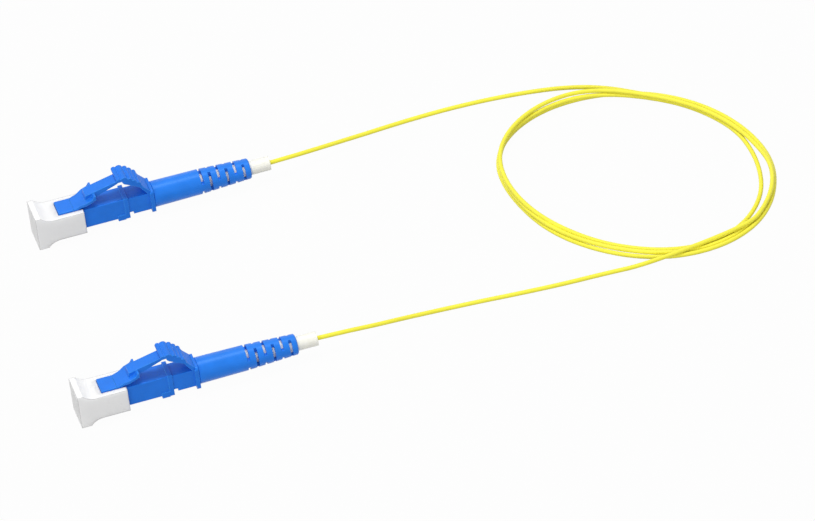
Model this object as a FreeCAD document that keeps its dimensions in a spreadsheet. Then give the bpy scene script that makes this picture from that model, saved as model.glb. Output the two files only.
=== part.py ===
import FreeCAD, Part
import Sketcher
import math
import os

from FreeCAD import Placement, Rotation, Vector

# A simplex fibre patch cord: two LC plugs, each under a dust cap, on one length of buffered fibre.
# Both plugs lie flat with the latch up and point along -X; the cord leaves them along +X.
# Frame: +Z up, Z = 0 is the surface they lie on, the origin is the bottom centre of the two plugs.
# A plug is drawn along its own axis: x from the front of its cap, y across, z up from the axis.

# name, value in millimetres (or a plain count), what it is
SIZES = (
    ("stagger", 6.62, "how far plug B's cap stands ahead of plug A's"),
    ("spacing", 58.2, "distance between the axes of the two plugs"),
    ("body_side", 4.5, "side of the square front housing"),
    ("slip_gap", 0.05, "clearance per side of parts that slide or fit together"),
    ("hinge_gap", 0.03, "clearance round a living hinge's bead"),
    ("cap_length", 10.07, "dust cap, front to rear"),
    ("cap_width", 6.8, "dust cap, across"),
    ("cap_height", 5.1, "dust cap behind its flange"),
    ("cap_wall", 1.0, "closed front wall of the dust cap"),
    ("tip_pocket_radius", 1.3, "pocket in the cap round the ferrule's tip"),
    ("flange_height", 7.48, "grip flange at the front of the cap"),
    ("upper_lip", 1.2, "thickness of the grip flange at its upper lip"),
    ("lower_lip", 1.95, "thickness of the grip flange at its lower lip"),
    ("lip_sweep", 2.6, "length of the hollow curve behind each lip"),
    ("front_face", 4.3, "front face of the front housing"),
    ("front_length", 15.1, "front housing, front face to the joint with the rear housing"),
    ("body_round", 0.2, "rounding of the housings' long edges"),
    ("shoulder", 2.6, "depth of the front bore, up to the holder's seat"),
    ("front_bore_radius", 1.3, "front bore, open round the ferrule for the mating sleeve"),
    ("chamber_radius", 1.7, "spring chamber in the front housing"),
    ("root_start", 0.86, "latch root, behind the front face"),
    ("root_width", 4.17, "latch root, across"),
    ("latch_thick", 0.61, "thickness of the latch root and arm"),
    ("latch_bead", 0.3, "radius of the bead the latch arm bends at"),
    ("latch_pivot", 8.45, "latch bead behind the cap's front"),
    ("wing_end", 13.05, "rear faces of the latch's catch shoulders"),
    ("wing_width", 5.1, "across the catch shoulders"),
    ("wing_top", 5.1, "top of the catch shoulders above the axis"),
    ("arm_width", 2.8, "narrow rear stretch of the latch arm"),
    ("arm_end", 18.0, "tip of the latch arm, under the trigger's nose"),
    ("arm_tip_top", 6.5, "top of the latch arm's tip above the axis"),
    ("rib_thick", 0.9, "collar at the rear of the front housing"),
    ("rib_side", 4.9, "side of that collar"),
    ("lug_length", 1.6, "key lug under the front housing"),
    ("lug_depth", 0.35, "key lug below the housing"),
    ("lug_rise", 0.85, "key lug up the housing's sides"),
    ("rear_length", 5.35, "rear housing between the front housing and the boot"),
    ("rear_width", 4.3, "rear housing, across"),
    ("rear_height", 4.05, "rear housing, high"),
    ("notch_length", 0.9, "notch under the rear housing"),
    ("notch_depth", 0.7, "depth of that notch"),
    ("collar_thick", 0.75, "collar at the rear of the rear housing"),
    ("collar_side", 5.4, "side of that collar"),
    ("collar_round", 0.7, "rounding of that collar's corners"),
    ("neck_radius", 1.95, "neck that carries the boot"),
    ("neck_length", 4.25, "length of that neck"),
    ("trigger_width", 4.6, "trigger, across"),
    ("trigger_reach", 6.0, "front of the trigger's grip ahead of its bead"),
    ("trigger_bead", 0.48, "radius of the bead the trigger bends at"),
    ("trigger_back", 1.03, "trigger bead ahead of the boot"),
    ("trigger_rise", 2.62, "trigger bead above the axis"),
    ("ferrule_radius", 0.625, "zirconia ferrule"),
    ("ferrule_length", 6.4, "zirconia ferrule"),
    ("ferrule_out", 2.3, "ferrule standing out of the front face"),
    ("seat_radius", 0.6, "rear end of the ferrule, drawn in a little for the press fit"),
    ("holder_radius", 1.5, "flange of the ferrule holder"),
    ("holder_flange", 1.75, "thickness of that flange"),
    ("stem_radius", 0.75, "stem of the ferrule holder"),
    ("stem_length", 8.4, "stem of the ferrule holder behind its flange"),
    ("key_slot", 0.6, "key slots in the holder's flange"),
    ("spring_radius", 1.15, "spring, to the middle of its wire"),
    ("spring_wire", 0.3, "spring wire"),
    ("spring_turns", 7, "turns of the spring"),
    ("stop_length", 5.6, "stop ring behind the spring"),
    ("stop_ahead", 3.9, "stop ring inside the front housing"),
    ("sleeve_radius", 1.45, "white inner sleeve"),
    ("sleeve_length", 28.35, "white inner sleeve"),
    ("boot_length", 20.5, "strain relief boot"),
    ("boot_front_radius", 2.68, "boot at the collar"),
    ("barrel_radius", 2.58, "boot where its slots start"),
    ("barrel_length", 10.0, "boot ahead of its slots"),
    ("boot_end_radius", 2.1, "boot at its rear ring"),
    ("slot_width", 0.55, "width of each boot slot"),
    ("slot_pitch", 1.76, "from one boot slot to the next"),
    ("slot_web", 1.6, "web left between two opposite slots"),
    ("boot_bevel", 0.2, "bevel at the boot's ends"),
    ("fibre_radius", 0.45, "buffered fibre"),
    ("inner_start", 10.0, "front end of the buffered fibre behind the cap's front"),
    ("coil_long", 61.6, "coil, across its long way"),
    ("coil_short", 49.2, "coil, across its short way"),
    ("coil_band", 2.2, "width of the coil's band of strands"),
    ("coil_height", 3.2, "height of the stacked strands"),
    ("coil_turned", 121.0, "direction of the coil's long way, in degrees from +X"),
    ("coil_ahead", 96.0, "coil's centre ahead of the origin"),
    ("coil_aside", 2.25, "coil's centre to the near side of the origin"),
)

doc = FreeCAD.newDocument("fibre_patch_cord")
sheet = doc.addObject("Spreadsheet::Sheet", "Sizes")
for row, (alias, value, meaning) in enumerate(SIZES, start=1):
    sheet.set(f"A{row}", meaning)
    sheet.set(f"B{row}", str(value))
    sheet.setAlias(f"B{row}", alias)
doc.recompute()


class Size:
    """A number together with the spreadsheet expression that gives it."""

    def __init__(self, number, text):
        self.number = number
        self.text = text

    def join(self, sign, other, number):
        return Size(number, f"({self.text} {sign} {as_size(other).text})")

    def __add__(self, other):
        return self.join("+", other, self.number + as_size(other).number)

    def __sub__(self, other):
        return self.join("-", other, self.number - as_size(other).number)

    def __mul__(self, other):
        return self.join("*", other, self.number * as_size(other).number)

    def __truediv__(self, other):
        return self.join("/", other, self.number / as_size(other).number)

    def __rmul__(self, other):
        return self * other

    def __neg__(self):
        return self * -1


def as_size(value):
    return value if isinstance(value, Size) else Size(float(value), str(float(value)))


class Sheet:
    """The spreadsheet's sizes by name."""


S = Sheet()
for alias, value, meaning in SIZES:
    setattr(S, alias, Size(float(sheet.get(alias)), f"Sizes.{alias}"))


def bind(thing, prop, size):
    """Ties a property to the spreadsheet."""
    thing.setExpression(prop, as_size(size).text)


# ---------------------------------------------------------------- derived places along a plug

HALF = S.body_side / 2
JOINT = S.front_face + S.front_length
BOOT_START = JOINT + S.rear_length
BOOT_END = BOOT_START + S.boot_length
SHOULDER = S.front_face + S.shoulder
STOP_START = JOINT - S.stop_ahead
STOP_END = STOP_START + S.stop_length
SLEEVE_END = STOP_END + S.sleeve_length
FERRULE_TIP = S.front_face - S.ferrule_out
HOLDER_REAR = SHOULDER + S.holder_flange
BORE = S.fibre_radius + S.slip_gap
LATCH_TOP = HALF + S.latch_thick
LATCH_RISE = LATCH_TOP - S.latch_bead
TRIGGER_PIVOT = BOOT_START - S.trigger_back
AXIS_HEIGHT = S.flange_height / 2
FRONT_A = (S.stagger - SLEEVE_END) / 2
FRONT_B = FRONT_A - S.stagger
PLUGS = (("a", FRONT_A, S.spacing / 2), ("b", FRONT_B, S.spacing / -2))


# ---------------------------------------------------------------- sketches and features

def body(label):
    return doc.addObject("PartDesign::Body", label)


def origin_part(owner, role):
    return next(f for f in owner.Origin.OriginFeatures if f.Role == role)


def sketch_on(owner, role, name, lift=None):
    """A sketch on one of the body's planes, lifted along the plane's normal."""
    sketch = owner.newObject("Sketcher::SketchObject", name)
    sketch.AttachmentSupport = [(origin_part(owner, role), "")]
    sketch.MapMode = "FlatFace"
    if lift is not None:
        bind(sketch, "AttachmentOffset.Base.z", lift)
    return sketch


def pin_point(sketch, edge, end, point):
    """Ties one end of an edge to its distances from the sketch's origin."""
    for kind, size in zip(("DistanceX", "DistanceY"), point):
        size = as_size(size)
        if abs(size.number) < 1e-9:
            on_axis = -2 if kind == "DistanceX" else -1
            sketch.addConstraint(Sketcher.Constraint("PointOnObject", edge, end, on_axis))
        elif size.number > 0:
            row = sketch.addConstraint(Sketcher.Constraint(kind, -1, 1, edge, end, size.number))
            sketch.setExpression(f"Constraints[{row}]", size.text)
        else:
            row = sketch.addConstraint(Sketcher.Constraint(kind, edge, end, -1, 1, -size.number))
            sketch.setExpression(f"Constraints[{row}]", (-size).text)


def flat(point):
    return Vector(as_size(point[0]).number, as_size(point[1]).number, 0)


def arc_between(start, end, radius):
    """An arc from start to end; a positive radius bulges to the right of the way from start to end."""
    a, b = flat(start), flat(end)
    middle, chord = (a + b) / 2, b - a
    reach = abs(radius.number)
    side = Vector(chord.y, -chord.x, 0).normalize() * (1 if radius.number > 0 else -1)
    sag = math.sqrt(max(reach ** 2 - (chord.Length / 2) ** 2, 0))
    centre = middle - side * sag
    return Part.Arc(a, centre + side * reach, b)


def outline(sketch, corners):
    """A closed outline. A corner is (x, y), or (x, y, radius) where an arc leads on to the next one."""
    edges = []
    for i, corner in enumerate(corners):
        following = corners[(i + 1) % len(corners)]
        if len(corner) == 3:
            shape = arc_between(corner, following, corner[2])
        else:
            shape = Part.LineSegment(flat(corner), flat(following))
        edges.append(sketch.addGeometry(shape, False))
    ends = []
    for edge, corner in zip(edges, corners):
        start = 1
        if len(corner) == 3:
            first = sketch.getPoint(edge, 1)
            start = 1 if (first - flat(corner)).Length < 1e-6 else 2
        ends.append((start, 3 - start))
    for i, edge in enumerate(edges):
        later = (i + 1) % len(edges)
        meeting = Sketcher.Constraint("Coincident", edge, ends[i][1], edges[later], ends[later][0])
        sketch.addConstraint(meeting)
    for edge, end, corner in zip(edges, ends, corners):
        pin_point(sketch, edge, end[0], corner[:2])
        if len(corner) == 3:
            size = corner[2] if corner[2].number > 0 else -corner[2]
            row = sketch.addConstraint(Sketcher.Constraint("Radius", edge, size.number))
            sketch.setExpression(f"Constraints[{row}]", size.text)


def rectangle(x0, x1, y0, y1):
    return ((x0, y0), (x1, y0), (x1, y1), (x0, y1))


def feature(owner, kind, name, sketch, length=None, symmetric=False, reverse=False):
    made = owner.newObject(f"PartDesign::{kind}", name)
    made.Profile = sketch
    made.SideType = "Symmetric" if symmetric else "One side"
    made.Reversed = reverse
    if length is None:
        made.Type = "ThroughAll"
    else:
        bind(made, "Length", length)
    return made


def side_pad(owner, name, corners, width):
    """An outline seen from the side, padded to both sides of the plug's middle."""
    sketch = sketch_on(owner, "XZ_Plane", name + "_side")
    outline(sketch, corners)
    return feature(owner, "Pad", name, sketch, width, symmetric=True)


def round_outline(sketch, centre, radius):
    """A full circle with its centre tied to its distances from the sketch's origin."""
    circle = sketch.addGeometry(Part.Circle(flat(centre), Vector(0, 0, 1), radius.number), False)
    pin_point(sketch, circle, 3, centre)
    row = sketch.addConstraint(Sketcher.Constraint("Radius", circle, radius.number))
    sketch.setExpression(f"Constraints[{row}]", radius.text)


def side_pocket(owner, name, corners=None, centre=None, radius=None):
    """A cut through the whole width, of an outline or a circle seen from the side."""
    sketch = sketch_on(owner, "XZ_Plane", name + "_side")
    if centre is None:
        outline(sketch, corners)
    else:
        round_outline(sketch, centre, radius)
    return feature(owner, "Pocket", name, sketch, symmetric=True)


def top_pocket(owner, name, corners):
    sketch = sketch_on(owner, "XY_Plane", name + "_top")
    outline(sketch, corners)
    return feature(owner, "Pocket", name, sketch, symmetric=True)


def end_sketch(owner, name, at, corners=None, radius=None):
    """A sketch square to the plug's axis, at the distance given."""
    sketch = sketch_on(owner, "YZ_Plane", name + "_end", lift=at)
    if radius is None:
        outline(sketch, corners)
    else:
        round_outline(sketch, (0, 0), radius)
    return sketch


def end_pocket(owner, name, at, length, corners=None, radius=None):
    """A hole from `at` back towards the front."""
    return feature(owner, "Pocket", name, end_sketch(owner, name, at, corners, radius), length)


def end_pad(owner, name, at, length, corners=None, radius=None):
    return feature(owner, "Pad", name, end_sketch(owner, name, at, corners, radius), length)


def turned(owner, name, corners):
    """An outline above the axis, turned round it."""
    sketch = sketch_on(owner, "XZ_Plane", name + "_half")
    outline(sketch, corners)
    made = owner.newObject("PartDesign::Revolution", name)
    made.Profile = sketch
    made.ReferenceAxis = (sketch, ["H_Axis"])
    return made


def round_edges(owner, name, base, radius, wanted):
    """Fillets the edges of base for which wanted(edge) holds."""
    doc.recompute()
    names = [f"Edge{i}" for i, edge in enumerate(base.Shape.Edges, start=1) if wanted(edge)]
    fillet = owner.newObject("PartDesign::Fillet", name)
    fillet.Base = (base, names)
    bind(fillet, "Radius", radius)
    return fillet


def lengthwise(edge):
    """True for a straight edge along the plug's axis."""
    way = edge.tangentAt(edge.FirstParameter) if isinstance(edge.Curve, Part.Line) else Vector(0, 0, 1)
    return abs(way.x) > 0.999


# ---------------------------------------------------------------- the pieces of a plug

def make_dust_cap(side):
    """A square cap with a grip flange; its slot lets the latch root in, and it pulls off forwards."""
    cap = body(f"dust_cap_{side}")
    half, lip = S.cap_height / 2, S.flange_height / 2
    step = lip - half
    hollow = (S.lip_sweep * S.lip_sweep / step + step) / 2
    side_pad(cap, f"cap_shell_{side}", (
        (0, -lip), (S.lower_lip, -lip, -hollow), (S.lower_lip + S.lip_sweep, -half), (S.cap_length, -half),
        (S.cap_length, half), (S.upper_lip + S.lip_sweep, half, -hollow), (S.upper_lip, lip), (0, lip)),
        S.cap_width)
    room = HALF + S.slip_gap
    seat = S.front_face - S.slip_gap
    end_pocket(cap, f"cap_cavity_{side}", S.cap_length, S.cap_length - seat,
               corners=rectangle(-room, room, -room, room))
    end_pocket(cap, f"cap_tip_pocket_{side}", seat, seat - S.cap_wall, radius=S.tip_pocket_radius)
    gap = S.root_width / 2 + 2 * S.slip_gap
    slot_start = S.front_face + S.root_start - 2 * S.slip_gap
    end_pocket(cap, f"cap_slot_{side}", S.cap_length, S.cap_length - slot_start,
               corners=rectangle(-gap, gap, HALF / 2, S.cap_height))
    return cap


def make_front_housing(side):
    """The square front housing with the latch's root plate, a collar and a key lug."""
    housing = body(f"front_housing_{side}")
    box = side_pad(housing, f"front_box_{side}", rectangle(S.front_face, JOINT, -HALF, HALF), S.body_side)
    round_edges(housing, f"front_rounding_{side}", box, S.body_round, lengthwise)
    side_pad(housing, f"latch_root_{side}", rectangle(
        S.front_face + S.root_start, S.latch_pivot, HALF / 2, LATCH_TOP), S.root_width)
    side_pocket(housing, f"latch_seat_{side}", centre=(S.latch_pivot, LATCH_RISE),
                radius=S.latch_bead + S.hinge_gap)
    rib = S.rib_side / 2
    end_pad(housing, f"front_collar_{side}", JOINT - S.rib_thick, S.rib_thick,
            corners=rectangle(-rib, rib, -rib, rib))
    end_pad(housing, f"key_lug_{side}", JOINT - S.rib_thick - S.lug_length, S.lug_length,
            corners=rectangle(-rib, rib, -HALF - S.lug_depth, -HALF + S.lug_rise))
    end_pocket(housing, f"spring_chamber_{side}", JOINT, JOINT - SHOULDER, radius=S.chamber_radius)
    end_pocket(housing, f"front_bore_{side}", SHOULDER, S.shoulder, radius=S.front_bore_radius)
    return housing


def make_latch_arm(side):
    """The sprung latch: a plate that rises to two catch shoulders, then a narrow arm to the trigger."""
    arm = body(f"latch_arm_{side}")
    bead = S.latch_bead
    low, high = LATCH_RISE - bead, LATCH_RISE + bead
    slope_x, slope_z = S.wing_end - S.latch_pivot, S.wing_top - LATCH_TOP
    side_pad(arm, f"latch_plate_{side}", (
        (S.latch_pivot, high, bead), (S.latch_pivot - bead, LATCH_RISE, bead), (S.latch_pivot, low),
        (S.latch_pivot + 0.75 * slope_x, low + 0.62 * slope_z), (S.wing_end, low + 0.86 * slope_z),
        (S.wing_end, S.wing_top), (S.wing_end - S.latch_bead, S.wing_top),
        (S.wing_end - 0.17 * slope_x, high + 0.68 * slope_z)), S.wing_width)
    plate = S.root_width / 2
    wing = S.wing_width / 2
    narrow_end = S.wing_end - 0.45 * slope_x
    for name, sign in (("left", 1), ("right", -1)):
        top_pocket(arm, f"latch_{name}_edge_{side}", (
            (S.latch_pivot - 2 * bead, sign * plate), (S.latch_pivot + 0.3 * slope_x, sign * plate),
            (narrow_end, sign * wing), (narrow_end, sign * S.wing_width),
            (S.latch_pivot - 2 * bead, sign * S.wing_width)))
    step = S.latch_pivot + 0.52 * slope_x
    rise = S.arm_tip_top - S.latch_thick
    side_pad(arm, f"latch_tail_{side}", (
        (step, low + 0.6 * slope_z), (S.wing_end - S.latch_bead, low + 0.75 * slope_z),
        (S.arm_end, rise), (S.arm_end, S.arm_tip_top),
        (step + 0.6 * S.latch_thick, LATCH_TOP + 0.93 * slope_z)), S.arm_width)
    return arm


def make_rear_housing(side):
    """The rear housing: a square body with a notch, a collar, the trigger's root and the boot's neck."""
    rear = body(f"rear_housing_{side}")
    wide, high = S.rear_width / 2, S.rear_height / 2
    box = end_pad(rear, f"rear_box_{side}", JOINT, S.rear_length, corners=rectangle(-wide, wide, -high, high))
    round_edges(rear, f"rear_rounding_{side}", box, S.body_round, lengthwise)
    collar_start = BOOT_START - S.collar_thick
    edge = S.collar_side / 2
    r = S.collar_round
    end_pad(rear, f"rear_collar_{side}", collar_start, S.collar_thick, corners=(
        (-edge, -edge + r, r), (-edge + r, -edge), (edge - r, -edge, r), (edge, -edge + r),
        (edge, edge - r, r), (edge - r, edge), (-edge + r, edge, r), (-edge, edge - r)))
    end_pad(rear, f"trigger_root_{side}", TRIGGER_PIVOT, collar_start - TRIGGER_PIVOT,
            corners=rectangle(-wide, wide, high / 2, S.trigger_rise))
    side_pocket(rear, f"trigger_seat_{side}", centre=(TRIGGER_PIVOT, S.trigger_rise),
                radius=S.trigger_bead + S.hinge_gap)
    side_pocket(rear, f"rear_notch_{side}", rectangle(
        JOINT, JOINT + S.notch_length, -S.rear_height, -high + S.notch_depth))
    end_pad(rear, f"boot_neck_{side}", BOOT_START, S.neck_length, radius=S.neck_radius)
    end_pocket(rear, f"sleeve_bore_{side}", BOOT_START + S.neck_length, BOOT_START + S.neck_length - JOINT,
               radius=S.sleeve_radius + S.slip_gap)
    end_pocket(rear, f"stop_bore_{side}", STOP_END, STOP_END - JOINT, radius=S.chamber_radius)
    return rear


# The trigger's profile as (ahead of the bead, above the bead), stretched until its front is at the sheet's
# reach: the valleys between the grip ribs from the nose back, the ribs' radii, and the underside.
GRIP_VALLEYS = ((6.0, 4.28), (5.1, 4.68), (3.67, 4.33), (2.77, 3.73), (1.92, 2.93), (1.17, 2.13))
GRIP_RADII = (0.5, 0.82, 0.57, 0.7, 0.62)
STRUT_TOP = (0.76, 1.43)
STRUT_BELOW = (1.62, 1.78)
UNDERSIDE = ((4.22, 3.23), (4.92, 4.13), (5.92, 4.08))
UNDERSIDE_RADIUS = 1.2


def make_trigger(side):
    """The trigger: a ribbed wedge on a thin strut; pressed down, its nose pushes the latch arm down."""
    trigger = body(f"trigger_{side}")
    bead = S.trigger_bead

    def drawn(length):
        return S.trigger_reach * (length / GRIP_VALLEYS[0][0])

    def at(point):
        return TRIGGER_PIVOT - drawn(point[0]), S.trigger_rise + drawn(point[1])

    def rim(degrees):
        turn = math.radians(degrees)
        return TRIGGER_PIVOT + bead * math.cos(turn), S.trigger_rise + bead * math.sin(turn)

    ribs = tuple(at(valley) + (-drawn(radius),) for valley, radius in zip(GRIP_VALLEYS, GRIP_RADII))
    curve_start, nose_corner, nose = (at(point) for point in UNDERSIDE)
    underside = (rim(-98), at(STRUT_BELOW), curve_start + (-drawn(UNDERSIDE_RADIUS),), nose_corner, nose)
    strut_top = (at(GRIP_VALLEYS[-1]), at(STRUT_TOP), rim(8) + (-bead,))
    side_pad(trigger, f"trigger_wedge_{side}", underside + ribs + strut_top, S.trigger_width)
    return trigger


def make_ferrule(side):
    """The zirconia ferrule, with the bare fibre polished flush in its tip."""
    ferrule = body(f"ferrule_{side}")
    r = S.ferrule_radius
    bevel = 0.3 * r
    rear = FERRULE_TIP + S.ferrule_length
    turned(ferrule, f"ferrule_turned_{side}", (
        (FERRULE_TIP, 0), (rear, 0), (rear, S.seat_radius), (SHOULDER, r),
        (FERRULE_TIP + 2 * bevel, r), (FERRULE_TIP, r - bevel)))
    return ferrule


def make_ferrule_holder(side):
    """The metal holder: a keyed flange that the spring pushes on, and a stem round the buffered fibre."""
    holder = body(f"ferrule_holder_{side}")
    seat_end = FERRULE_TIP + S.ferrule_length
    stem_end = HOLDER_REAR + S.stem_length
    turned(holder, f"holder_turned_{side}", (
        (SHOULDER, S.ferrule_radius), (seat_end, S.seat_radius), (seat_end, BORE), (stem_end, BORE),
        (stem_end, S.stem_radius), (HOLDER_REAR, S.stem_radius), (HOLDER_REAR, S.holder_radius),
        (SHOULDER, S.holder_radius)))
    slot = S.key_slot / 2
    for name, ends in (("upper", (S.holder_radius - S.key_slot, 2 * S.holder_radius)),
                       ("lower", (-2 * S.holder_radius, S.key_slot - S.holder_radius))):
        end_pocket(holder, f"{name}_key_slot_{side}", HOLDER_REAR, S.holder_flange,
                   corners=rectangle(-slot, slot, ends[0], ends[1]))
    return holder


def make_stop_ring(side):
    """The metal ring that backs the spring and ties the two housings together."""
    ring = body(f"stop_ring_{side}")
    outer = S.chamber_radius - S.slip_gap
    inner = S.stem_radius + 2 * S.slip_gap
    turned(ring, f"stop_turned_{side}", rectangle(STOP_START, STOP_END, inner, outer))
    return ring


def make_inner_sleeve(side):
    """The white sleeve round the fibre, through the boot and out behind it."""
    sleeve = body(f"inner_sleeve_{side}")
    turned(sleeve, f"sleeve_turned_{side}", rectangle(STOP_END, SLEEVE_END, BORE, S.sleeve_radius))
    return sleeve


def make_boot(side):
    """The strain relief boot: a plain barrel, then rings joined by webs that alternate by a quarter turn."""
    boot = body(f"boot_{side}")
    neck_end = BOOT_START + S.neck_length + S.slip_gap
    barrel_end = BOOT_START + S.barrel_length
    bevel = S.boot_bevel
    turned(boot, f"boot_turned_{side}", (
        (BOOT_START, S.neck_radius + S.slip_gap), (neck_end, S.neck_radius + S.slip_gap),
        (neck_end, S.sleeve_radius + S.slip_gap), (BOOT_END, S.sleeve_radius + S.slip_gap),
        (BOOT_END, S.boot_end_radius - bevel), (BOOT_END - bevel, S.boot_end_radius),
        (barrel_end, S.barrel_radius), (BOOT_START + bevel, S.boot_front_radius),
        (BOOT_START, S.boot_front_radius - bevel)))
    web, far = S.slot_web / 2, 2 * S.boot_front_radius
    for pair, cutter, start in (("upright", side_pocket, barrel_end),
                                ("level", top_pocket, barrel_end + S.slot_pitch)):
        for name, ends in (("near", (web, far)), ("far", (-far, -web))):
            corners = rectangle(start, start + S.slot_width, ends[0], ends[1])
            slot = cutter(boot, f"{pair}_{name}_slot_{side}", corners)
            row = boot.newObject("PartDesign::LinearPattern", f"{pair}_{name}_slots_{side}")
            row.Originals = [slot]
            row.Direction = (origin_part(boot, "X_Axis"), [""])
            row.Occurrences = 3
            bind(row, "Length", 4 * S.slot_pitch)
            boot.Tip = row
    return boot


def make_fibre_inside(side):
    """The buffered fibre from inside the holder's stem to the mouth of the sleeve."""
    fibre = doc.addObject("Part::Cylinder", f"fibre_inside_{side}")
    bind(fibre, "Radius", S.fibre_radius)
    bind(fibre, "Height", SLEEVE_END - S.inner_start)
    return fibre


def make_spring(side):
    """The spring between the holder's flange and the stop ring, its wire drawn six-sided."""
    wire, radius = S.spring_wire.number / 2, S.spring_radius.number
    steps, sides = 10, 6
    rise = (STOP_START - HOLDER_REAR).number - 2 * wire
    count = steps * int(S.spring_turns.number)
    turn = 2 * math.pi / steps
    path = [Vector(radius * math.cos(i * turn), radius * math.sin(i * turn), wire + rise * i / count)
            for i in range(count + 1)]
    rim = Part.makeCircle(wire, path[0], path[1] - path[0])
    corners = [rim.valueAt(2 * math.pi * i / sides) for i in range(sides)]
    section = Part.makePolygon(corners + corners[:1])
    spring = doc.addObject("Part::Feature", f"spring_{side}")
    spring.Shape = Part.makePolygon(path).makePipeShell([section], True, False, 1)
    return spring


def place(thing, front, across, lengthwise_from=None):
    """Puts a plug's piece at its plug's place; a piece made along Z is first laid along X."""
    start = front
    if lengthwise_from is not None:
        thing.Placement = Placement(Vector(), Rotation(Vector(0, 1, 0), 90))
        start = front + lengthwise_from
    bind(thing, "Placement.Base.x", start)
    bind(thing, "Placement.Base.y", across)
    bind(thing, "Placement.Base.z", AXIS_HEIGHT)


nodes = []
for side, front, across in PLUGS:
    for make in (make_dust_cap, make_front_housing, make_latch_arm, make_rear_housing, make_trigger,
                 make_ferrule, make_ferrule_holder, make_stop_ring, make_inner_sleeve, make_boot):
        piece = make(side)
        place(piece, front, across)
        nodes.append(piece)
    for piece, begin in ((make_fibre_inside(side), S.inner_start), (make_spring(side), HOLDER_REAR)):
        place(piece, front, across, lengthwise_from=begin)
        nodes.append(piece)


# ---------------------------------------------------------------- the cord

# The two leads as hand-set points (x, y, z) from the origin; the first point is the sleeve's mouth.
mouth_a = Vector((FRONT_A + SLEEVE_END).number, (S.spacing / 2).number, AXIS_HEIGHT.number)
mouth_b = Vector((FRONT_B + SLEEVE_END).number, (S.spacing / -2).number, AXIS_HEIGHT.number)
LEAD_A = (mouth_a, Vector(34.0, 29.6, 3.5), Vector(41.0, 31.3, 2.5), Vector(49.0, 33.5, 1.15),
          Vector(57.5, 35.0, 0.47), Vector(66.5, 35.3, 0.45), Vector(75.0, 34.9, 0.46),
          Vector(83.5, 33.9, 0.45), Vector(91.5, 32.1, 0.46), Vector(98.5, 28.9, 0.45),
          Vector(103.6, 25.4, 0.46), Vector(107.0, 21.9, 0.45))
LEAD_B = (mouth_b, Vector(27.5, -29.2, 3.6), Vector(33.5, -28.6, 2.7), Vector(40.0, -27.2, 1.35),
          Vector(47.0, -26.6, 0.47), Vector(55.0, -27.2, 0.45), Vector(63.5, -28.1, 0.46),
          Vector(72.5, -28.8, 0.45), Vector(81.0, -29.2, 0.55), Vector(89.0, -30.7, 1.3),
          Vector(96.5, -31.7, 1.55), Vector(102.5, -31.3, 1.6))


def cord_tube(label, points, radius):
    """A round cord along straight runs, with each corner an arc as large as its two runs allow."""
    edges, last = [], points[0]
    radii, length = [], 0.0
    for before, corner, after in zip(points, points[1:], points[2:]):
        back, ahead = before - corner, after - corner
        turn = math.pi - back.getAngle(ahead)
        reach = 0.45 * min(back.Length, ahead.Length)
        radii.append(reach / math.tan(turn / 2))
        back.normalize()
        ahead.normalize()
        start, end = corner + back * reach, corner + ahead * reach
        inward = (back + ahead).normalize()
        middle = corner + inward * (radii[-1] / math.cos(turn / 2) - radii[-1])
        edges.append(Part.LineSegment(last, start).toShape())
        edges.append(Part.Arc(start, middle, end).toShape())
        last = end
    edges.append(Part.LineSegment(last, points[-1]).toShape())
    path = Part.Wire(edges)
    section = Part.Wire(Part.makeCircle(radius, points[0], points[1] - points[0]))
    tube = doc.addObject("Part::Feature", label)
    tube.Shape = path.makePipeShell([section], True, False)
    ideal = math.pi * radius ** 2 * path.Length
    print(label, "length", round(path.Length, 1), "radii", [round(r, 1) for r in radii],
          "volume / section x length", round(tube.Shape.Volume / ideal, 4))
    return tube


def oval(length, width, height):
    """An upright solid of oval plan, its long way along X."""
    curve = Part.Ellipse(Vector(), length / 2, width / 2).toShape()
    return Part.Face(Part.Wire([curve])).extrude(Vector(0, 0, height))


def make_coil():
    """The coiled part of the cord as one oval ring."""
    band, height = S.coil_band.number, S.coil_height.number
    long_way, short_way = S.coil_long.number, S.coil_short.number
    ring = oval(long_way, short_way, height).cut(oval(long_way - 2 * band, short_way - 2 * band, height))
    coil = doc.addObject("Part::Feature", "fibre_coil")
    coil.Shape = ring
    coil.Placement = Placement(Vector(S.coil_ahead.number, -S.coil_aside.number, 0),
                               Rotation(Vector(0, 0, 1), S.coil_turned.number))
    return coil


nodes.append(cord_tube("fibre_lead_a", LEAD_A, S.fibre_radius.number))
nodes.append(cord_tube("fibre_lead_b", LEAD_B, S.fibre_radius.number))
nodes.append(make_coil())

doc.recompute()

# ---------------------------------------------------------------- check and write

for thing in doc.Objects:
    if {"Invalid", "Error"} & set(thing.State):
        raise RuntimeError(f"{thing.Label} failed: {thing.State}")
for node in nodes:
    if node.Shape.isNull() or not node.Shape.isValid() or not node.Shape.Solids:
        raise RuntimeError(f"{node.Label} has no valid solid")

os.makedirs("parts", exist_ok=True)
for node in nodes:
    node.Shape.exportStep(f"parts/{node.Label}.step")
print(len(nodes), "nodes written")
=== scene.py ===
"""Looks of the fibre patch cord: two capped LC plugs on one loosely coiled, yellow buffered fibre."""
import math

import bpy
from mathutils import Matrix, Vector


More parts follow.
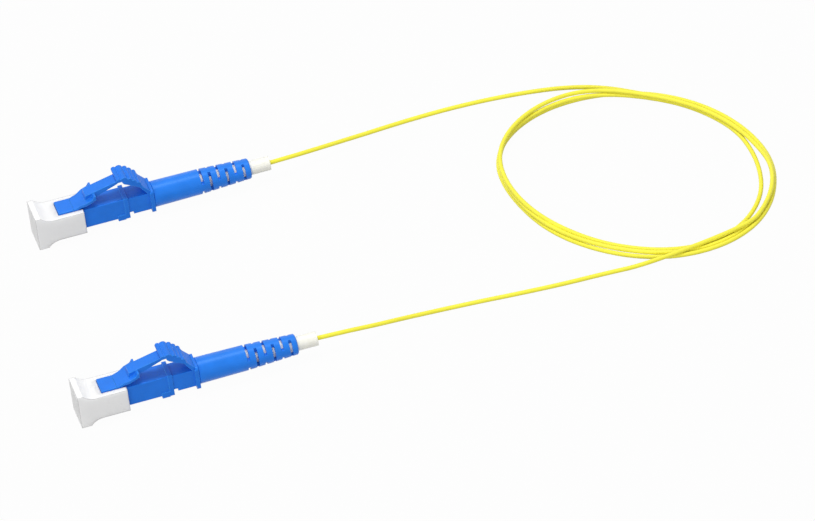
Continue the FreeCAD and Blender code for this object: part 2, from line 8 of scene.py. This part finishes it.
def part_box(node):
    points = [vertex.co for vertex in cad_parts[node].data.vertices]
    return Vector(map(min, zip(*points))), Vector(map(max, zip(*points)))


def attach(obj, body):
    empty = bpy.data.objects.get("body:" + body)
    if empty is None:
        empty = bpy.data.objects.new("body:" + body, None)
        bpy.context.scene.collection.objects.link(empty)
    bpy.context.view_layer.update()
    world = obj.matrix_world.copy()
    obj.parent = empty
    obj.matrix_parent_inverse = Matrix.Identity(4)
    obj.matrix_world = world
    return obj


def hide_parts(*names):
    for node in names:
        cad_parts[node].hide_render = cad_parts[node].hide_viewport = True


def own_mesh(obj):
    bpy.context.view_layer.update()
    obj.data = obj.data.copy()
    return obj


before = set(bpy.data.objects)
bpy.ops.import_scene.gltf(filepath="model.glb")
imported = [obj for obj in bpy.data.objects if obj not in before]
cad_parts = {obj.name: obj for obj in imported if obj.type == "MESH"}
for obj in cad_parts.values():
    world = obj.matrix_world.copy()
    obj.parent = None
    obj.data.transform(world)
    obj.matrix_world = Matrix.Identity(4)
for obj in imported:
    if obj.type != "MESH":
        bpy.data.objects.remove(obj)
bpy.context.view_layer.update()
MM = 0.001
SIDES = ("a", "b")
BEVEL_SAMPLES = 8
SUBSURFACE_REACH = 1.2 * MM


# ---------------------------------------------------------------- shader helpers

def new_material(name):
    """A node material with a Principled shader and its output; returns it with its tree and the shader."""
    material = bpy.data.materials.new(name)
    material.use_nodes = True
    tree = material.node_tree
    return material, tree, tree.nodes["Principled BSDF"]


def noise(tree, scale, detail=3.0, roughness=0.5, stretch=(1, 1, 1)):
    """Object-space noise; scale is in features per millimetre."""
    place = tree.nodes.new("ShaderNodeTexCoord")
    mapping = tree.nodes.new("ShaderNodeMapping")
    mapping.inputs["Scale"].default_value = [s / MM for s in stretch]
    texture = tree.nodes.new("ShaderNodeTexNoise")
    texture.inputs["Scale"].default_value = scale
    texture.inputs["Detail"].default_value = detail
    texture.inputs["Roughness"].default_value = roughness
    tree.links.new(place.outputs["Object"], mapping.inputs["Vector"])
    tree.links.new(mapping.outputs["Vector"], texture.inputs["Vector"])
    return texture.outputs["Fac"]


def spread(tree, value, low, high, near=0.3, far=0.7):
    """Maps a noise value to the range from low to high."""
    ranged = tree.nodes.new("ShaderNodeMapRange")
    ranged.inputs["From Min"].default_value = near
    ranged.inputs["From Max"].default_value = far
    ranged.inputs["To Min"].default_value = low
    ranged.inputs["To Max"].default_value = high
    tree.links.new(value, ranged.inputs["Value"])
    return ranged.outputs["Result"]


def tinted(tree, value, dark, light):
    """A colour between two tones, by the value."""
    mix = tree.nodes.new("ShaderNodeMix")
    mix.data_type = "RGBA"
    mix.inputs["A"].default_value = (*dark, 1)
    mix.inputs["B"].default_value = (*light, 1)
    tree.links.new(value, mix.inputs["Factor"])
    return mix.outputs["Result"]


def rounded_normal(tree, radius):
    """The surface's normal with its edges rounded; the radius is in millimetres."""
    bevel = tree.nodes.new("ShaderNodeBevel")
    bevel.samples = BEVEL_SAMPLES
    bevel.inputs["Radius"].default_value = radius * MM
    return bevel.outputs["Normal"]


def grained(tree, shader, height, depth, edge_radius):
    """Fine surface relief, on rounded edges where a radius is given; both sizes are in millimetres."""
    bump = tree.nodes.new("ShaderNodeBump")
    bump.inputs["Strength"].default_value = 1.0
    bump.inputs["Distance"].default_value = depth * MM
    tree.links.new(height, bump.inputs["Height"])
    if edge_radius:
        tree.links.new(rounded_normal(tree, edge_radius), bump.inputs["Normal"])
    tree.links.new(bump.outputs["Normal"], shader.inputs["Normal"])


def at_edges(tree, radius):
    """One on the part's edges and nothing on its flats; the radius is in millimetres."""
    plain = tree.nodes.new("ShaderNodeNewGeometry")
    likeness = tree.nodes.new("ShaderNodeVectorMath")
    likeness.operation = "DOT_PRODUCT"
    tree.links.new(rounded_normal(tree, radius), likeness.inputs[0])
    tree.links.new(plain.outputs["Normal"], likeness.inputs[1])
    return spread(tree, likeness.outputs["Value"], 1.0, 0.0, near=0.8, far=0.99)


def moulded(name, colour, roughness, variation=0.06, grain=6.0, depth=0.004, soft=0.0, tint=(1, 1, 1),
            edge_radius=0.09, painted_edge_colour=None):
    """A moulded plastic: slight tone and gloss variation, fine grain, softened edges, and, where an edge
    colour is given, edges painted in it: a painted highlight where it is lighter, a painted shade line where
    it is darker.
    """
    material, tree, shader = new_material(name)
    tone = spread(tree, noise(tree, 0.35, 2.0), 0.0, 1.0)
    dark = [c * (1 - variation) for c in colour]
    light = [min(c * (1 + variation), 1.0) for c in colour]
    paint = tinted(tree, tone, dark, light)
    # Painted edge colour on the base colour: a painted highlight along the blue parts' edges and a painted
    # dark shade line along the white cap's edges.
    if painted_edge_colour:
        painted_edges = tinted(tree, at_edges(tree, edge_radius), colour, painted_edge_colour)
        tree.links.new(paint, painted_edges.node.inputs["A"])
        paint = painted_edges
    tree.links.new(paint, shader.inputs["Base Color"])
    gloss = spread(tree, noise(tree, 1.3), roughness * 0.9, roughness * 1.12)
    tree.links.new(gloss, shader.inputs["Roughness"])
    shader.inputs["Specular Tint"].default_value = (*tint, 1)
    grained(tree, shader, noise(tree, grain, 2.0), depth, edge_radius)
    if soft:
        shader.inputs["Subsurface Weight"].default_value = soft
        shader.inputs["Subsurface Radius"].default_value = (1, 1, 1)
        shader.inputs["Subsurface Scale"].default_value = SUBSURFACE_REACH
    return material


def metal(name, colour, roughness, stretch):
    """Turned or drawn metal with fine marks round or along it."""
    material, tree, shader = new_material(name)
    shader.inputs["Base Color"].default_value = (*colour, 1)
    shader.inputs["Metallic"].default_value = 1.0
    marks = noise(tree, 1.0, 4.0, stretch=stretch)
    tree.links.new(spread(tree, marks, roughness * 0.8, roughness * 1.25), shader.inputs["Roughness"])
    grained(tree, shader, marks, 0.002, 0.0)
    return material


# ---------------------------------------------------------------- materials

SKY_TINT = (0.4, 0.7, 1.0)
# A lighter blue painted on the housing and trigger edges as a painted highlight.
EDGE_HIGHLIGHT_BLUE = (0.05, 0.36, 0.97)
housing_blue = moulded("housing_blue", (0.012, 0.17, 0.74), 0.4, tint=SKY_TINT, edge_radius=0.18,
                       painted_edge_colour=EDGE_HIGHLIGHT_BLUE)
trigger_blue = moulded("trigger_blue", (0.012, 0.166, 0.73), 0.5, tint=SKY_TINT, edge_radius=0.18,
                       painted_edge_colour=EDGE_HIGHLIGHT_BLUE)
boot_blue = moulded("boot_blue", (0.014, 0.187, 0.77), 0.34, grain=9.0, depth=0.003, tint=SKY_TINT)
# The cap's grey edge colour is a painted dark shade line along its edges.
cap_white = moulded("cap_white", (0.87, 0.87, 0.87), 0.5, variation=0.012, soft=0.6, edge_radius=0.25,
                    painted_edge_colour=(0.4, 0.4, 0.4))
sleeve_white = moulded("sleeve_white", (0.88, 0.87, 0.79), 0.38, variation=0.012, soft=0.4)
buffer_yellow = moulded("buffer_yellow", (0.88, 0.82, 0.065), 0.45, variation=0.03, grain=1.0, depth=0.0005,
                        tint=(1.0, 0.95, 0.4), edge_radius=0.0)
zirconia = moulded("zirconia", (0.82, 0.81, 0.78), 0.12, variation=0.01, depth=0.0005, soft=0.2)
nickel = metal("nickel", (0.72, 0.7, 0.64), 0.24, (9, 1, 1))
spring_steel = metal("spring_steel", (0.56, 0.56, 0.57), 0.3, (2, 2, 2))

NODE_MATERIALS = {
    "dust_cap": cap_white, "front_housing": housing_blue, "latch_arm": housing_blue,
    "rear_housing": housing_blue, "trigger": trigger_blue, "ferrule": zirconia,
    "ferrule_holder": nickel, "stop_ring": nickel,
    "inner_sleeve": sleeve_white, "boot": boot_blue, "fibre_inside": buffer_yellow,
}


def clothe(thing, material):
    thing.data.materials.clear()
    thing.data.materials.append(material)


for side in SIDES:
    for node, material in NODE_MATERIALS.items():
        clothe(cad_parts[f"{node}_{side}"], material)


# ---------------------------------------------------------------- the springs

WIRE_RADIUS = 0.15 * MM
SPRING_TURNS, CLOSED_TURNS = 7, 1
RINGS_PER_TURN, RING_SIDES = 32, 12


def wire_mesh(start, length, coil_radius):
    """A round wire wound along +X from start, with a closed coil at each end and an even pitch between."""
    closed_pitch = 2.05 * WIRE_RADIUS
    free_turns = SPRING_TURNS - 2 * CLOSED_TURNS
    open_pitch = (length - 2 * WIRE_RADIUS - 2 * CLOSED_TURNS * closed_pitch) / free_turns
    rings = SPRING_TURNS * RINGS_PER_TURN + 1
    points, faces = [], []
    for i in range(rings):
        turns = i / RINGS_PER_TURN
        closed = min(turns, CLOSED_TURNS) + max(turns - SPRING_TURNS + CLOSED_TURNS, 0)
        along = WIRE_RADIUS + closed_pitch * closed + open_pitch * (turns - closed)
        angle = 2 * math.pi * turns
        outward = Vector((0, math.cos(angle), math.sin(angle)))
        pitch = open_pitch if CLOSED_TURNS < turns < SPRING_TURNS - CLOSED_TURNS else closed_pitch
        slope = pitch / (2 * math.pi * coil_radius)
        onward = Vector((slope, -math.sin(angle), math.cos(angle))).normalized()
        middle = start + Vector((along, 0, 0)) + outward * coil_radius
        for k in range(RING_SIDES):
            turn = 2 * math.pi * k / RING_SIDES
            rim = outward * math.cos(turn) + onward.cross(outward) * math.sin(turn)
            points.append(middle + rim * WIRE_RADIUS)
            beside = (k + 1) % RING_SIDES - k
            if i:
                corner = len(points) - 1
                back = corner - RING_SIDES
                faces.append((back, back + beside, corner + beside, corner))
    faces.append(tuple(reversed(range(RING_SIDES))))
    faces.append(tuple(range(len(points) - RING_SIDES, len(points))))
    mesh = bpy.data.meshes.new("spring_wire")
    mesh.from_pydata(points, [], faces)
    for face in mesh.polygons[:-2]:
        face.use_smooth = True
    return mesh


def make_spring(side):
    """The coil spring, wound to fill the CAD spring's box and carried on the cable's body as one fixed mesh;
    the real spring shortens towards the stop ring when the ferrule is pushed back.
    """
    low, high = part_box(f"spring_{side}")
    start = Vector((low.x, (low.y + high.y) / 2, (low.z + high.z) / 2))
    length = high.x - low.x
    mesh = wire_mesh(start, length, (high.y - low.y) / 2 - WIRE_RADIUS)
    spring = bpy.data.objects.new(f"coil_spring_{side}", mesh)
    bpy.context.scene.collection.objects.link(spring)
    clothe(spring, spring_steel)
    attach(spring, "cable")
    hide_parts(f"spring_{side}")
    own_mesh(spring)


for side in SIDES:
    make_spring(side)


# ---------------------------------------------------------------- the cord

SLEEVE_MOUTHS = {side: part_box(f"inner_sleeve_{side}") for side in SIDES}
RADIUS = 0.45


def mouth(side):
    """Centre of the sleeve's rear end, in millimetres."""
    low, high = SLEEVE_MOUTHS[side]
    return high.x / MM, (low.y + high.y) / 2 / MM, (low.z + high.z) / 2 / MM


# The leads' points, as in the CAD route, from each sleeve's mouth to the coil.
LEAD_A = (mouth("a"), (34.0, 29.6, 3.5), (41.0, 31.3, 2.5), (49.0, 33.5, 1.15), (57.5, 35.0, 0.47),
          (66.5, 35.3, 0.45), (75.0, 34.9, 0.46), (83.5, 33.9, 0.45), (91.5, 32.1, 0.46), (98.5, 28.9, 0.45))
LEAD_B = (mouth("b"), (27.5, -29.2, 3.6), (33.5, -28.6, 2.7), (40.0, -27.2, 1.35), (47.0, -26.6, 0.47),
          (55.0, -27.2, 0.45), (63.5, -28.1, 0.46), (72.5, -28.8, 0.45), (81.0, -29.2, 0.55),
          (89.0, -30.7, 1.3))

# The coil: an oval wound clockwise from its far end, with each pass a little off the last.
COIL_CENTRE = Vector((96.0, -2.23, 0.0))
COIL_SHORT, COIL_LONG = 23.5, 29.7
COIL_TURNED = math.radians(30.9)
FAR_END = 66.0
STEPS_PER_TURN = 24
# Turns run, how far the strand lies outside the oval, and the height of its centre.
PASSES = ((0.0, 2.6, 0.45), (0.125, 1.5, 0.45), (0.25, 1.2, 0.45), (0.375, 0.1, 0.45), (0.5, 0.0, 0.45),
          (0.5625, 0.1, 0.45), (0.625, -0.3, 0.45), (0.75, -0.4, 0.45), (0.875, 1.75, 0.45),
          (1.0, 0.8, 1.0), (1.125, 1.1, 1.25), (1.25, 0.7, 1.35), (1.3125, 0.5, 1.3), (1.4, -0.95, 0.5),
          (1.5, -1.0, 0.45), (1.625, -0.9, 1.2), (1.75, -0.4, 1.35), (1.875, 1.3, 1.35),
          (2.0, 0.4, 1.85), (2.125, 0.55, 0.45), (2.1875, 0.1, 0.45), (2.3125, -2.1, 0.45),
          (2.375, -2.5, 0.45), (2.5, -1.9, 0.5), (2.625, -1.9, 1.1), (2.6875, -1.5, 1.6), (2.75, -0.4, 2.25),
          (2.875, 1.1, 2.3), (3.0, 1.1, 2.7), (3.125, 0.15, 1.35), (3.25, -0.2, 1.4), (3.3125, 0.3, 2.0),
          (3.4, -0.4, 1.35), (3.5, 0.5, 1.6))


def pass_at(turns):
    """Offset and height of the strand after that many turns, eased from one entry to the next."""
    for (t0, out0, z0), (t1, out1, z1) in zip(PASSES, PASSES[1:]):
        if turns <= t1:
            ease = (1 - math.cos(math.pi * (turns - t0) / (t1 - t0))) / 2
            return out0 + (out1 - out0) * ease, z0 + (z1 - z0) * ease
    return PASSES[-1][1:]


def coil_points(first, last):
    """Control points of the coil from one number of turns to another."""
    count = round((last - first) * STEPS_PER_TURN)
    turn = Matrix.Rotation(COIL_TURNED, 3, "Z")
    points = []
    for i in range(count + 1):
        turns = first + (last - first) * i / count
        angle = math.radians(FAR_END - 360 * turns)
        out, height = pass_at(turns)
        oval = Vector(((COIL_SHORT + out) * math.cos(angle), (COIL_LONG + out) * math.sin(angle), 0))
        points.append(COIL_CENTRE + turn @ oval + Vector((0, 0, height)))
    return points


def smooth_curve(name, points, radius):
    """An open NURBS tube whose control points are given in millimetres."""
    data = bpy.data.curves.new(name, "CURVE")
    data.dimensions = "3D"
    data.bevel_depth = radius * MM
    data.bevel_resolution = 8
    data.resolution_u = 8
    spline = data.splines.new("NURBS")
    spline.points.add(len(points) - 1)
    for control, point in zip(spline.points, points):
        control.co = (*[c * MM for c in point], 1.0)
    spline.order_u = 3
    spline.use_endpoint_u = True
    curve = bpy.data.objects.new(name, data)
    bpy.context.scene.collection.objects.link(curve)
    return curve


route = [Vector(p) for p in LEAD_A] + coil_points(0.09, 3.43) + [Vector(p) for p in reversed(LEAD_B)]
fibre = smooth_curve("buffered_fibre", route, RADIUS)
clothe(fibre, buffer_yellow)
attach(fibre, "cable")
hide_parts("fibre_lead_a", "fibre_coil", "fibre_lead_b")


# ---------------------------------------------------------------- studio

def seen_rays(tree):
    """One for rays from the camera, a reflection or a refraction, and nothing for light on the object."""
    path = tree.nodes.new("ShaderNodeLightPath")
    seen = path.outputs["Is Camera Ray"]
    for ray in ("Is Glossy Ray", "Is Transmission Ray"):
        either = tree.nodes.new("ShaderNodeMath")
        either.operation = "MAXIMUM"
        tree.links.new(seen, either.inputs[0])
        tree.links.new(path.outputs[ray], either.inputs[1])
        seen = either.outputs[0]
    return seen


FLOOR_WHITENESS = 0.97
FLOOR_REACH = 3.0
WORLD_STRENGTH = 0.63


def make_floor():
    """A broad pale floor that keeps a soft shadow and otherwise reads as white."""
    mesh = bpy.data.meshes.new("floor")
    corners = [(x * FLOOR_REACH, y * FLOOR_REACH, 0) for x, y in ((-1, -1), (1, -1), (1, 1), (-1, 1))]
    mesh.from_pydata(corners, [], [(0, 1, 2, 3)])
    floor = bpy.data.objects.new("floor", mesh)
    bpy.context.scene.collection.objects.link(floor)
    material, tree, shader = new_material("floor_white")
    shader.inputs["Base Color"].default_value = (0.4, 0.4, 0.4, 1)
    shader.inputs["Roughness"].default_value = 0.9
    shader.inputs["Specular IOR Level"].default_value = 0.1
    glow = tree.nodes.new("ShaderNodeEmission")
    glow.inputs["Color"].default_value = (1, 1, 1, 1)
    mix = tree.nodes.new("ShaderNodeMixShader")
    share = tree.nodes.new("ShaderNodeMath")
    share.operation = "MULTIPLY"
    share.inputs[1].default_value = FLOOR_WHITENESS
    tree.links.new(seen_rays(tree), share.inputs[0])
    tree.links.new(share.outputs[0], mix.inputs["Fac"])
    tree.links.new(shader.outputs["BSDF"], mix.inputs[1])
    tree.links.new(glow.outputs["Emission"], mix.inputs[2])
    tree.links.new(mix.outputs["Shader"], tree.nodes["Material Output"].inputs["Surface"])
    mesh.materials.append(material)


def make_world():
    """Even grey light from all round, seen as white."""
    world = bpy.data.worlds.new("studio")
    bpy.context.scene.world = world
    world.use_nodes = True
    tree = world.node_tree
    light = tree.nodes["Background"]
    light.inputs["Color"].default_value = (1.0, 1.0, 1.0, 1)
    light.inputs["Strength"].default_value = WORLD_STRENGTH
    white = tree.nodes.new("ShaderNodeBackground")
    white.inputs["Color"].default_value = (1, 1, 1, 1)
    mix = tree.nodes.new("ShaderNodeMixShader")
    tree.links.new(seen_rays(tree), mix.inputs["Fac"])
    tree.links.new(light.outputs["Background"], mix.inputs[1])
    tree.links.new(white.outputs["Background"], mix.inputs[2])
    tree.links.new(mix.outputs["Shader"], tree.nodes["World Output"].inputs["Surface"])


def make_lamp(name, place, aim, size, power):
    """A square area lamp; places are in metres."""
    data = bpy.data.lights.new(name, "AREA")
    data.shape = "SQUARE"
    data.size = size
    data.energy = power
    lamp = bpy.data.objects.new(name, data)
    lamp.location = place
    lamp.rotation_euler = (Vector(aim) - Vector(place)).to_track_quat("-Z", "Y").to_euler()
    bpy.context.scene.collection.objects.link(lamp)


make_floor()
make_world()
centre = Vector((0.045, 0.0, 0.0))
make_lamp("overhead_softbox", centre + Vector((-0.1, 0.1, 0.95)), centre, 0.4, 4.5)
make_lamp("front_fill", centre + Vector((-0.5, -0.8, 0.35)), centre, 0.6, 2.9)


# ---------------------------------------------------------------- camera

VIEW_AZIMUTH = math.radians(11.342)
VIEW_ELEVATION = math.radians(38.073)
VIEW_ROLL = math.radians(-8.046)
VIEW_TARGET = Vector((45.02, -12.34, 3.29)) * MM
VIEW_DISTANCE = 1983.1 * MM
FOCAL_LENGTH = 441.7


def make_camera():
    """A long lens from the front and above, rolled a little."""
    data = bpy.data.cameras.new("view")
    data.sensor_width = 36.0
    data.lens = FOCAL_LENGTH
    data.clip_start = 0.1
    data.clip_end = 50.0
    forward = Vector((math.sin(VIEW_AZIMUTH) * math.cos(VIEW_ELEVATION),
                      math.cos(VIEW_AZIMUTH) * math.cos(VIEW_ELEVATION), -math.sin(VIEW_ELEVATION)))
    right = Vector((math.cos(VIEW_AZIMUTH), -math.sin(VIEW_AZIMUTH), 0))
    up = right.cross(forward)
    rolled_right = right * math.cos(VIEW_ROLL) + up * math.sin(VIEW_ROLL)
    rolled_up = up * math.cos(VIEW_ROLL) - right * math.sin(VIEW_ROLL)
    turn = Matrix((rolled_right, rolled_up, -forward)).transposed()
    camera = bpy.data.objects.new("view", data)
    camera.matrix_world = Matrix.Translation(VIEW_TARGET - forward * VIEW_DISTANCE) @ turn.to_4x4()
    bpy.context.scene.collection.objects.link(camera)
    bpy.context.scene.camera = camera


make_camera()
bpy.context.scene.view_settings.view_transform = "Standard"
